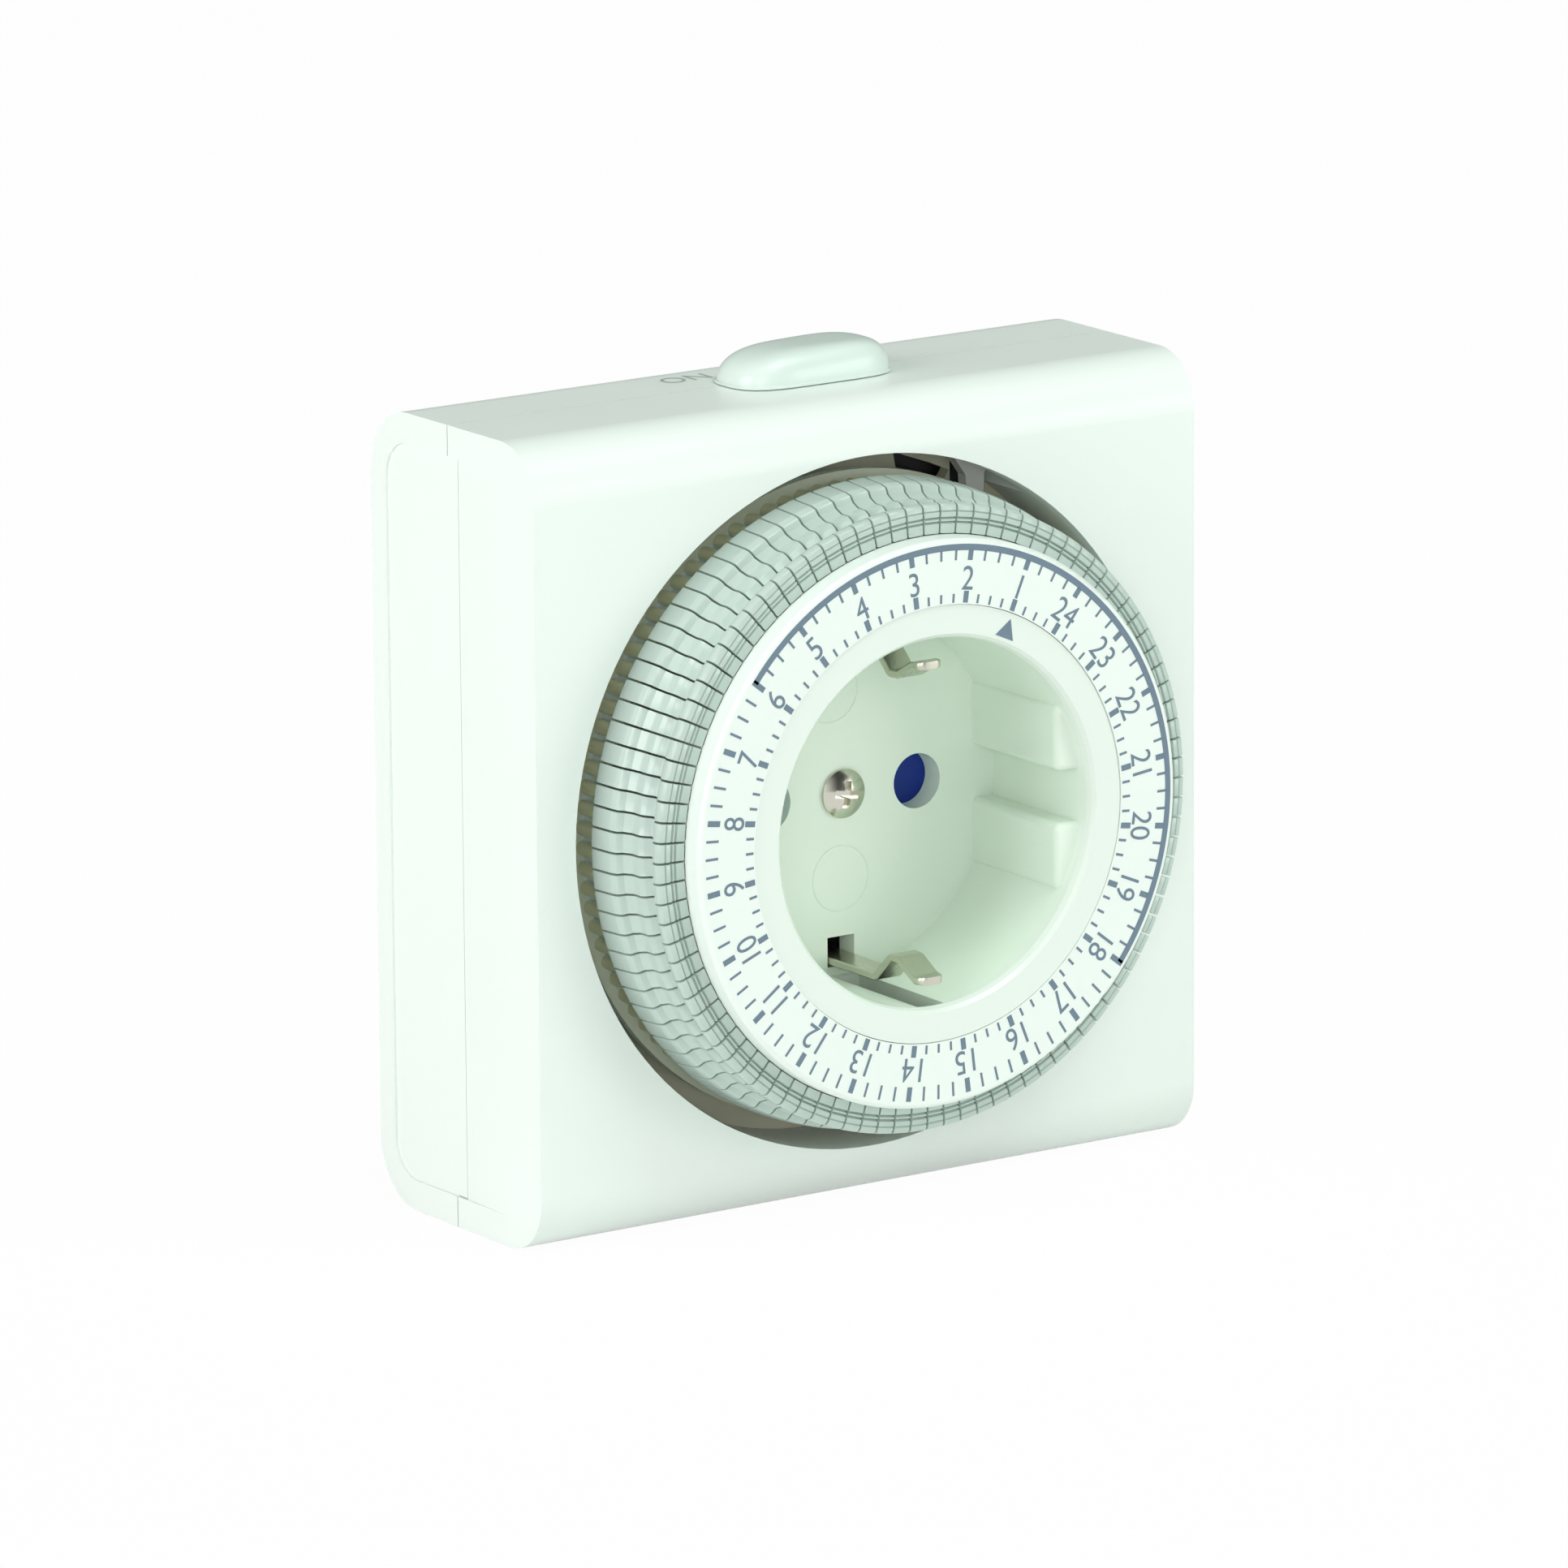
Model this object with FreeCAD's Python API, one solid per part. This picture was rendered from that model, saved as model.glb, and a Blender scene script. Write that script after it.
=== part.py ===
import FreeCAD, Part
import math
import os

os.makedirs("parts", exist_ok=True)

# Plug-in timer switch, in millimetres.
# Origin: centre of the plug's face. +Y points into the wall, +X right and +Z up as seen from the dial.
# A depth is measured from the housing's front plane towards the wall.

# Driving dimensions
HALF_W = 41.6
HALF_H = 42.55
DEPTH = 30.5
WALL = 2.0
PLUG_LEN = 17.0
PART_LINE = 15.86
PANEL_LINE = 14.35
SEAM = 0.08
FRONT_R = 6.0
BACK_R = 7.0
HOLE_R = 36.86
COLLAR_R = 38.4
COLLAR_END = 10.3
PANEL_H = 39.3
PANEL_IN = 0.3
PANEL_BACK = 27.7
PLATE_D = 11.0
PLATE_T = 1.5

PIN_X = 9.5
PIN_R = 2.4
PIN_LEN = 19.0
PIN_ROOT = 36.0
ROOT_R = 2.0
PLUG_R = 18.6

CUP_R = 21.0
WELL_R = 19.5
FLOOR = 5.3
FLOOR_T = 2.7
RING_FRONT = -12.23
RING_R = 23.08
EARTH_Z = 17.8
CLIP_X = -0.3
CLIP_HALF_W = 1.6

BORE_R = 21.06
DIAL_FRONT = -12.4
DIAL_REAR = -9.9
DIAL_IN = 23.15
DIAL_OUT = 30.05
COMB_IN = 26.0
COMB_OUT = 30.0
FLANGE_R = 34.45
BUMP_R = 33.6
DRUM_R = 32.55
DRUM_FRONT = 1.0
FLANGE_FRONT = 4.9
WHEEL_REAR = 6.0

SEGMENTS = 96
PITCH = 360.0 / SEGMENTS
HEAD_GAP = 0.24
FIN_T = 1.0
SLOT_W = 1.3
FIRST_CENTRE = 38.2 - 0.8 - PITCH / 2
SINGLES = (2, 3, 4, 5)
BANK = 12

GEAR_D = (8.9, 10.5)
WHEEL_D = (12.9, 14.4)
DIAL_TEETH = 80
DIAL_MODULE = 0.6
PINION_TEETH = 10
WHEEL_TEETH = 60
WHEEL_MODULE = 0.5
ARBOR_R = 0.8
RUN = 0.06
ARBOR_ANGLE = 225.0
MOTOR_ANGLE = 115.0

FINGER_X = (18.4, 20.8)
FINGER_D = (8.8, 10.2)
LEVER_Z = 37.6
LEVER_PIN_R = 0.8
PLUNGER_Z = 28.0

BUTTON_X = (-7.8, 11.9)
BUTTON_D = (10.0, 20.0)
BUTTON_TOP = 46.3
STEM_X = (-1.0, 7.0)
STEM_D = (14.5, 17.2)
SLOT_X = 7.1

SCREW_X = 35.4
SCREW_Z = 36.2
SHUTTER_TURN = 42.0

FACE = -PLUG_LEN - DEPTH
AXIS = FreeCAD.Vector(0, 1, 0)
CENTRE = FreeCAD.Vector(0, 0, 0)


def at(depth):
    """Y of a depth below the housing's front plane."""
    return FACE + depth


def point(x, depth, z):
    return FreeCAD.Vector(x, at(depth), z)


def block(x, depth, z):
    """Box between pairs of x, depth and z."""
    return Part.makeBox(x[1] - x[0], depth[1] - depth[0], z[1] - z[0], point(x[0], depth[0], z[0]))


def rod(x, z, radius, start, end):
    """Round bar along the wall direction."""
    return Part.makeCylinder(radius, end - start, point(x, start, z), AXIS)


def tube(inner, outer, start, end, x=0.0, z=0.0):
    return rod(x, z, outer, start, end).cut(rod(x, z, inner, start - 1, end + 1))


def turned(outline, angle=360.0):
    """Solid turned about the dial axis from (radius, depth) points, starting at the top."""
    wire = Part.makePolygon([point(0, d, r) for r, d in outline + outline[:1]])
    return Part.Face(wire).revolve(CENTRE, AXIS, angle)


def prism(face_points, vector):
    """Solid pushed out along a vector from a closed polygon."""
    return Part.Face(Part.makePolygon(face_points + face_points[:1])).extrude(vector)


def spin(shape, degrees):
    """Copy turned clockwise about the dial axis as seen from the front."""
    copy = shape.copy()
    copy.rotate(CENTRE, AXIS, degrees)
    return copy


def polar(radius, degrees, depth=0.0, x=0.0, z=0.0):
    """Point at an angle measured from +X towards +Z."""
    a = math.radians(degrees)
    return point(x + radius * math.cos(a), depth, z + radius * math.sin(a))


def joined(shapes):
    return shapes[0].multiFuse(shapes[1:]).removeSplitter()


def save(name, shape):
    shape.exportStep("parts/" + name + ".step")


def profile(start, end, front_r, back_r, half_h, half_w):
    """Block with rounded front and back corners, sharp along its sides."""
    solid = block((-half_w, half_w), (start, end), (-half_h, half_h))
    for radius, depth in ((front_r, start), (back_r, end)):
        if radius:
            edges = [e for e in solid.Edges
                     if abs(e.BoundBox.YMin - at(depth)) < 1e-6 and abs(e.BoundBox.YMax - at(depth)) < 1e-6
                     and e.BoundBox.XLength > half_w]
            solid = solid.makeFillet(radius, edges)
    return solid


def outer_body():
    return profile(0, DEPTH, FRONT_R, BACK_R, HALF_H, HALF_W)


def inner_space():
    return profile(WALL, DEPTH - WALL, FRONT_R - WALL, BACK_R - WALL, HALF_H - WALL, HALF_W - WALL)


def corners():
    return [(sx * SCREW_X, sz * SCREW_Z) for sx in (-1, 1) for sz in (-1, 1)]


def button_slot():
    return block((-SLOT_X, SLOT_X), (STEM_D[0] - 0.2, STEM_D[1] + 0.2), (HALF_H - WALL - 1, HALF_H + 1))


def front_cover():
    big = HALF_W + 5
    keep = block((-big, big), (-1, PART_LINE - SEAM), (-big, big))
    shell = outer_body().cut(inner_space()).common(keep)
    shell = shell.cut(rod(0, 0, HOLE_R, -1, WALL + 1))
    collar = tube(HOLE_R, COLLAR_R, WALL / 2, COLLAR_END)
    window = block((13.5, 21.7), (3.0, COLLAR_END + 1), (25.0, HALF_H - WALL))
    shell = shell.fuse(collar.cut(window))
    for x, z in corners():
        shell = shell.fuse(tube(1.45, 3.2, WALL / 2, PART_LINE - SEAM, x, z))
    for side in (-1, 1):
        wedge = [(HALF_W, 6.0), (HALF_W - PANEL_IN, PANEL_LINE), (HALF_W - PANEL_IN, PART_LINE + 1),
                 (HALF_W + 1, PART_LINE + 1), (HALF_W + 1, 6.0)]
        panel = prism([point(side * x, d, -PANEL_H) for x, d in wedge], FreeCAD.Vector(0, 0, 2 * PANEL_H))
        shell = shell.cut(panel)
        x = sorted((side * (HALF_W - WALL - 1), side * (HALF_W + 1)))
        shell = shell.cut(block(x, (PANEL_LINE, PART_LINE + 1), (-PANEL_H, PANEL_H)))
    return shell.cut(button_slot())


def plug_boss():
    """Hollow round plug with flats, guide ribs and notches for the earth contacts."""
    boss = rod(0, 0, PLUG_R, DEPTH - 1, DEPTH + PLUG_LEN)
    for side in (-1, 1):
        x = sorted((side * 16.2, side * 20.0))
        for z in ((2.4, 20.0), (-20.0, -2.4)):
            boss = boss.cut(block(x, (DEPTH, DEPTH + PLUG_LEN + 1), z))
        z = sorted((side * 17.7, side * 20.0))
        boss = boss.cut(block((-3.4, 3.4), (32.0, DEPTH + PLUG_LEN + 1), z))
    return boss


def back_shell():
    big = HALF_W + 5
    keep = block((-big, big), (PART_LINE + SEAM, DEPTH + 1), (-big, big))
    tongue = [block(sorted((s * (HALF_W - WALL), s * (HALF_W + 1))), (PANEL_LINE + SEAM, PART_LINE + 1),
                    (-PANEL_H + SEAM, PANEL_H - SEAM)) for s in (-1, 1)]
    walls = outer_body().cut(inner_space())
    shell = joined([walls.common(keep)] + [walls.common(t) for t in tongue])
    for side in (-1, 1):
        x = sorted((side * (HALF_W - PANEL_IN), side * (HALF_W + 1)))
        panel = block(x, (PANEL_LINE - 5, PANEL_BACK), (-PANEL_H, PANEL_H))
        rear = [e for e in panel.Edges if abs(e.BoundBox.YMin - at(PANEL_BACK)) < 1e-6
                and e.BoundBox.XLength > 0.5 and e.BoundBox.ZLength < 0.1]
        shell = shell.cut(panel.makeFillet(4.0, rear))
    shell = shell.fuse(plug_boss())
    shell = shell.cut(rod(0, 0, 15.6, DEPTH - WALL - 1, DEPTH + PLUG_LEN - 3))
    for side in (-1, 1):
        shell = shell.cut(rod(side * PIN_X, 0, ROOT_R, DEPTH, DEPTH + PLUG_LEN + 1))
        shell = shell.cut(rod(side * PIN_X, 0, PIN_R + 0.05, DEPTH + PLUG_LEN - 0.3, DEPTH + PLUG_LEN + 1))
        z = sorted((side * 14.5, side * 19.0))
        shell = shell.cut(block((-2.1, 2.1), (32.0, 33.6), z))
    for x, z in corners():
        shell = shell.fuse(rod(x, z, 3.2, PART_LINE + SEAM, DEPTH - 1))
        shell = shell.cut(rod(x, z, 1.45, PART_LINE - 1, DEPTH + 1))
        shell = shell.cut(rod(x, z, 2.9, DEPTH - 3.0, DEPTH + 1))
    ax, az = arbor_centre()
    post = rod(ax, az, 2.2, 15.2, DEPTH - 1).cut(rod(ax, az, ARBOR_R + RUN, 15.0, 18.2))
    return shell.fuse(post).cut(button_slot())


def socket_insert():
    """Cup with its front ring, key blocks, pin holes and centre post."""
    outline = [(20.05, RING_FRONT), (RING_R, RING_FRONT), (RING_R, RING_FRONT + 0.8),
               (CUP_R, RING_FRONT + 0.8), (CUP_R, FLOOR + FLOOR_T), (0.0, FLOOR + FLOOR_T),
               (0.0, FLOOR), (WELL_R - 0.1, FLOOR), (WELL_R, RING_FRONT + 1.0), (WELL_R + 0.2, RING_FRONT + 0.4)]
    cup = turned(outline)
    blocks = []
    for side, front in ((-1, -6.5), (1, -9.9)):
        key = [(16.6, FLOOR + 0.5), (16.6, front), (20.4, front - 0.7), (20.4, FLOOR + 0.5)]
        for low in (2.8, -10.0):
            one = prism([point(side * x, d, low) for x, d in key], FreeCAD.Vector(0, 0, 7.2))
            free = [e for e in one.Edges if min(abs(v.X) for v in e.Vertexes) < 17
                    and min(v.Y for v in e.Vertexes) < at(FLOOR)]
            blocks.append(one.makeFillet(0.8, free))
    cup = joined([cup] + [b.common(rod(0, 0, CUP_R - 0.2, -13, FLOOR + 1)) for b in blocks])
    cup = cup.fuse(rod(0, 0, 2.2, FLOOR + 1, 16.5))
    cuts = [rod(0, 0, 1.65, FLOOR - 1, 17.5)]
    gap = (CLIP_X - CLIP_HALF_W - 0.1, CLIP_X + CLIP_HALF_W + 0.1)
    for side in (-1, 1):
        cuts.append(rod(side * PIN_X, 0, 2.95, FLOOR - 1, FLOOR + FLOOR_T + 1))
        cuts.append(block(gap, (FLOOR - 1, FLOOR + FLOOR_T + 1), sorted((side * 15.3, side * 18.5))))
        cuts.append(block(gap, (-11.0, 4.4), sorted((side * 18.5, side * 21.5))))
    for cut in cuts:
        cup = cup.cut(cut)
    return cup


def centre_screw():
    """Dome head with a cross recess turned a little, and its shank."""
    head = Part.makeSphere(4.95, point(0, FLOOR - 1.1 + 4.95, 0)).common(rod(0, 0, 2.62, FLOOR - 2, FLOOR))
    screw = head.fuse(rod(0, 0, 1.6, FLOOR - 0.1, 19.3))
    for angle in (8.0, 98.0):
        arm = block((-1.45, 1.45), (FLOOR - 2, FLOOR - 0.15), (-0.4, 0.4))
        screw = screw.cut(spin(arm, angle))
    return screw


def strip(path, thickness, half_width, side):
    """Bent flat spring from a middle line of (depth, height) points."""
    upper = []
    lower = []
    for i, (d, h) in enumerate(path):
        before = path[max(i - 1, 0)]
        after = path[min(i + 1, len(path) - 1)]
        run = math.hypot(after[0] - before[0], after[1] - before[1])
        nd = -(after[1] - before[1]) / run * thickness / 2
        nh = (after[0] - before[0]) / run * thickness / 2
        upper.append(point(CLIP_X - half_width, d + nd, side * (h + nh)))
        lower.append(point(CLIP_X - half_width, d - nd, side * (h - nh)))
    return prism(upper + lower[::-1], FreeCAD.Vector(2 * half_width, 0, 0))


CLIP_PATH = [(25.0, EARTH_Z), (-2.6, EARTH_Z), (-3.6, 17.5), (-5.0, 16.1), (-6.1, 15.4), (-7.2, 15.35),
             (-8.8, 16.0), (-10.4, 16.65), (-11.5, 16.75)]


def plug_earth_contact(side):
    """Side contact of the plug, with its leg through the plug's wall to the earth bar."""
    outer = block((-3.2, 3.2), (32.1, 46.0), sorted((side * 17.8, side * 18.6)))
    leg = block((-2.0, 2.0), (32.1, 33.4), sorted((side * 14.6, side * 18.6)))
    tail = block((-2.0, 2.0), (26.0, 33.4), sorted((side * 14.6, side * 15.4)))
    return joined([outer, leg, tail])


def plug_pin(side):
    """Pin with a thinner root held in the plug."""
    pin = rod(side * PIN_X, 0, PIN_R, DEPTH + PLUG_LEN, DEPTH + PLUG_LEN + PIN_LEN)
    tip = [e for e in pin.Edges if abs(e.BoundBox.YMin - PIN_LEN) < 1e-6]
    return pin.makeFillet(1.2, tip).fuse(rod(side * PIN_X, 0, ROOT_R, PIN_ROOT, DEPTH + PLUG_LEN))


def receptacle(side):
    """Slotted spring sleeve that grips an inserted pin."""
    sleeve = tube(2.55, 3.2, 10.2, 24.0, side * PIN_X)
    slot = block(sorted((side * PIN_X, side * (PIN_X + 4))), (10.0, 16.0), (-0.4, 0.4))
    return sleeve.cut(slot)


def contact_carrier():
    """Insulating block that holds the two sleeves and takes the centre screw."""
    carrier = block((-14.2, 14.2), (16.5, 19.5), (-6.5, 6.5)).cut(rod(0, 0, 1.6, 16, 20))
    for side in (-1, 1):
        carrier = carrier.cut(rod(side * PIN_X, 0, 3.2, 16, 20))
    return carrier


def line_bar():
    return joined([block((8.8, 10.2), (31.0, PIN_ROOT), (-2.0, 2.0)), block((8.8, 10.2), (26.6, 31.8), (0.6, 2.0)),
                   block((8.8, 24.0), (26.6, 27.4), (0.6, 3.4)), block((21.0, 24.0), (26.6, 27.4), (0.6, 31.0)),
                   block((21.0, 24.0), (21.4, 27.4), (29.6, 31.0))])


def switch_bar():
    return joined([block((8.8, 10.2), (24.0, 25.4), (-2.4, 30.0)), block((8.8, 13.0), (24.0, 25.4), (28.6, 31.0)),
                   block((10.6, 13.0), (21.4, 25.4), (29.6, 31.0))])


def switch_terminals():
    return Part.makeCompound([block((21.0, 24.0), (19.5, 21.4), (29.6, 31.0)),
                              block((10.6, 13.0), (19.5, 21.4), (29.6, 31.0))])


def movement_plate():
    """Flat plate across the housing, with the window and the slot in front of the switch."""
    plate = block((-39.2, 39.2), (PLATE_D, PLATE_D + PLATE_T), (-40.1, 40.1)).cut(rod(0, 0, 19.6, 10, 14))
    for x, z in corners():
        sx = math.copysign(1, x)
        sz = math.copysign(1, z)
        corner = block(sorted((sx * 31.8, sx * 41)), (10, 14), sorted((sz * 32.6, sz * 42)))
        plate = plate.cut(corner)
    window = [(10.6, 34.4), (12.0, 33.6), (15.5, 32.3), (17.8, 31.3), (17.2, 30.4), (14.1, 31.5), (11.0, 32.3)]
    plate = plate.cut(prism([point(x, 10, z) for x, z in window], FreeCAD.Vector(0, 4, 0)))
    plate = plate.cut(block((17.9, 21.3), (10, 14), (25.2, 32.3)))
    ax, az = arbor_centre()
    mx, mz = motor_centre()
    plate = plate.cut(rod(ax, az, ARBOR_R + RUN, 10, 14)).cut(rod(mx, mz, 1.2, 10, 14))
    for x in ((14.6, 16.0), (23.0, 24.4)):
        ear = block(x, (8.4, PLATE_D), (36.2, 39.0))
        plate = plate.fuse(ear)
    return plate.cut(lever_pin())


def lever_pin():
    return Part.makeCylinder(LEVER_PIN_R, 9.8, point(14.6, sum(FINGER_D) / 2, LEVER_Z), FreeCAD.Vector(1, 0, 0))


def switch_lever():
    """Follower finger, wide at its hinge and narrow at its tip."""
    outline = [(16.3, 38.8), (22.7, 38.8), (22.7, 34.0), (FINGER_X[1], 31.0), (FINGER_X[1] - 0.3, 26.2),
               (FINGER_X[0] + 0.3, 26.2), (FINGER_X[0], 31.0), (16.3, 34.0)]
    thick = FreeCAD.Vector(0, FINGER_D[1] - FINGER_D[0], 0)
    finger = prism([point(x, FINGER_D[0], z) for x, z in outline], thick)
    knuckle = Part.makeCylinder(1.5, 6.4, point(16.3, sum(FINGER_D) / 2, LEVER_Z), FreeCAD.Vector(1, 0, 0))
    hole = Part.makeCylinder(LEVER_PIN_R + RUN, 20, point(10, sum(FINGER_D) / 2, LEVER_Z), FreeCAD.Vector(1, 0, 0))
    keep = block((10, 30), (8.0, 10.95), (20, 39.1))
    return finger.fuse(knuckle).common(keep).cut(hole)


def switch_body():
    body = block((9.0, 25.0), (13.0, 19.5), (24.0, 36.0))
    return body.cut(rod(19.6, PLUNGER_Z, 1.02, 12, 15.6))


def override_button():
    """Rounded dome on a stem that passes the slot in the housing."""
    dome = block(BUTTON_X, BUTTON_D, (HALF_H + 0.12, BUTTON_TOP))
    uprights = [e for e in dome.Edges if e.BoundBox.ZLength > 1 and e.BoundBox.XLength < 0.1
                and e.BoundBox.YLength < 0.1]
    dome = dome.makeFillet(4.4, uprights)
    top = [e for e in dome.Edges if e.BoundBox.ZMin > BUTTON_TOP - 0.01]
    dome = dome.makeFillet(2.4, top)
    return dome.fuse(block(STEM_X, STEM_D, (40.2, HALF_H + 1)))


def housing_screws():
    screws = []
    for x, z in corners():
        screws.append(rod(x, z, 2.6, DEPTH - 3.0, DEPTH - 1.2).fuse(rod(x, z, 1.4, 7.0, DEPTH - 3.0)))
    return Part.makeCompound(screws)


def gear(x, z, teeth, module, span, phase, bore):
    """Spur gear with straight-sided teeth, one of them centred on the phase angle."""
    radius = teeth * module / 2
    tooth = 360.0 / teeth
    corners_of_tooth = ((-0.27, radius - 1.15 * module), (-0.11, radius + 0.75 * module),
                        (0.11, radius + 0.75 * module), (0.27, radius - 1.15 * module))
    outline = [polar(r, phase + (i + part) * tooth, span[0], x, z)
               for i in range(teeth) for part, r in corners_of_tooth]
    return prism(outline, FreeCAD.Vector(0, span[1] - span[0], 0)).cut(rod(x, z, bore, span[0] - 1, span[1] + 1))


def arbor_centre():
    reach = (DIAL_TEETH + PINION_TEETH) * DIAL_MODULE / 2
    a = math.radians(ARBOR_ANGLE)
    return reach * math.cos(a), reach * math.sin(a)


def motor_centre():
    reach = (WHEEL_TEETH + PINION_TEETH) * WHEEL_MODULE / 2
    a = math.radians(MOTOR_ANGLE)
    ax, az = arbor_centre()
    return ax + reach * math.cos(a), az + reach * math.sin(a)


def slot_wire(angle, depth):
    """Closed fin slot at one angle of the drum."""
    corners_of_slot = [(-SLOT_W / 2, COMB_IN + 0.4), (SLOT_W / 2, COMB_IN + 0.4),
                       (SLOT_W / 2, COMB_OUT + 0.1), (-SLOT_W / 2, COMB_OUT + 0.1)]
    wire = Part.makePolygon([point(x, depth, z) for x, z in corners_of_slot + corners_of_slot[:1]])
    wire.rotate(CENTRE, AXIS, angle)
    return wire


def segment_angle(index):
    """Clockwise angle from the top of a quarter-hour segment's middle."""
    return FIRST_CENTRE - index * PITCH


def around(radius, angle, depth):
    a = math.radians(angle)
    return point(radius * math.sin(a), depth, radius * math.cos(a))


def comb():
    """Ring with an open slot for every segment's fin."""
    outline = []
    for index in range(SEGMENTS):
        middle = segment_angle(SEGMENTS - 1 - index)
        for radius, sign in ((COMB_OUT, -1), (COMB_IN + 0.4, -1), (COMB_IN + 0.4, 1), (COMB_OUT, 1)):
            half = math.degrees(math.asin(SLOT_W / 2 / radius))
            outline.append(around(radius, middle + sign * half, DIAL_REAR))
    ring = prism(outline, FreeCAD.Vector(0, WHEEL_REAR - DIAL_REAR, 0))
    return ring.cut(rod(0, 0, COMB_IN - 1.2, DIAL_REAR - 1, WHEEL_REAR + 1))


def bumpy_wire(depth):
    """Closed outline with one rounded bump behind every segment."""
    edges = []
    for index in range(SEGMENTS):
        middle = segment_angle(SEGMENTS - 1 - index)
        start = around(DRUM_R, middle - 0.36 * PITCH, depth)
        end = around(DRUM_R, middle + 0.36 * PITCH, depth)
        edges.append(Part.Arc(start, around(BUMP_R, middle, depth), end).toShape())
        edges.append(Part.LineSegment(end, around(DRUM_R, middle + 0.64 * PITCH, depth)).toShape())
    return Part.Wire(edges)


def drum(outer, start, end):
    """Ring that closes the slots from outside."""
    inner = Part.Wire(Part.makeCircle(COMB_IN - 1.2, point(0, start, 0), AXIS))
    slots = [slot_wire(segment_angle(i), start) for i in range(SEGMENTS)]
    face = Part.makeFace([outer, inner] + slots, "Part::FaceMakerBullseye")
    return face.extrude(FreeCAD.Vector(0, end - start, 0))


def dial_wheel():
    hub = tube(BORE_R, 22.9, RING_FRONT + 1.1, GEAR_D[0])
    web = tube(22.9, COMB_IN - 1.2, 3.4, WHEEL_REAR)
    bumps = drum(bumpy_wire(DRUM_FRONT), DRUM_FRONT, FLANGE_FRONT)
    flange_edge = Part.Wire(Part.makeCircle(FLANGE_R, point(0, FLANGE_FRONT, 0), AXIS))
    flange = drum(flange_edge, FLANGE_FRONT, WHEEL_REAR)
    open_comb = comb().common(tube(10, COMB_OUT + 5, DIAL_REAR - 1, DRUM_FRONT))
    return joined([hub, web, open_comb, bumps, flange])


def dial_face():
    """Printed ring with a rounded front edge and a rim that closes the slots."""
    ring = turned([(DIAL_IN, DIAL_FRONT), (DIAL_OUT, DIAL_FRONT), (DIAL_OUT, DIAL_REAR), (25.0, DIAL_REAR),
                   (25.0, DIAL_FRONT + 1.2), (DIAL_IN, DIAL_FRONT + 1.2)])
    edge = [e for e in ring.Edges if abs(e.BoundBox.YMax - at(DIAL_FRONT)) < 1e-6
            and abs(e.BoundBox.XMax - DIAL_OUT) < 1e-3]
    return ring.makeFillet(0.5, edge)


def segment():
    """One quarter-hour switch segment at the top: a curved head, a thin skirt and a fin in its slot."""
    outline = [(30.15, DIAL_REAR), (32.5, DIAL_REAR), (33.05, -9.7), (33.25, -9.2), (33.2, -8.8), (32.5, -7.9),
               (31.85, -6.5), (32.4, -6.1), (32.8, -5.7), (32.85, -5.1), (32.9, -4.4), (33.1, -3.7),
               (33.65, -3.2), (34.1, -3.0), (34.2, -2.5), (34.3, -1.7), (34.45, 0.7),
               (33.95, 0.7), (33.8, -1.3), (33.2, -2.1), (30.15, -2.1)]
    width = PITCH - math.degrees(HEAD_GAP / 33.0)
    head = spin(turned(outline, width), -width / 2)
    arm = block((-FIN_T / 2, FIN_T / 2), (-8.5, -2.3), (26.7, 31.0))
    fin = block((-FIN_T / 2, FIN_T / 2), (-8.5, WHEEL_REAR), (26.7, COMB_OUT - 0.1))
    return head.fuse(arm).fuse(fin)


def shutter():
    """Blue disc that covers the pin holes until it is turned."""
    disc = tube(2.28, 13.2, 8.1, 9.3)
    for side in (-1, 1):
        disc = disc.cut(spin(rod(side * PIN_X, 0, 3.05, 8, 10), -SHUTTER_TURN))
    return disc


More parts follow.
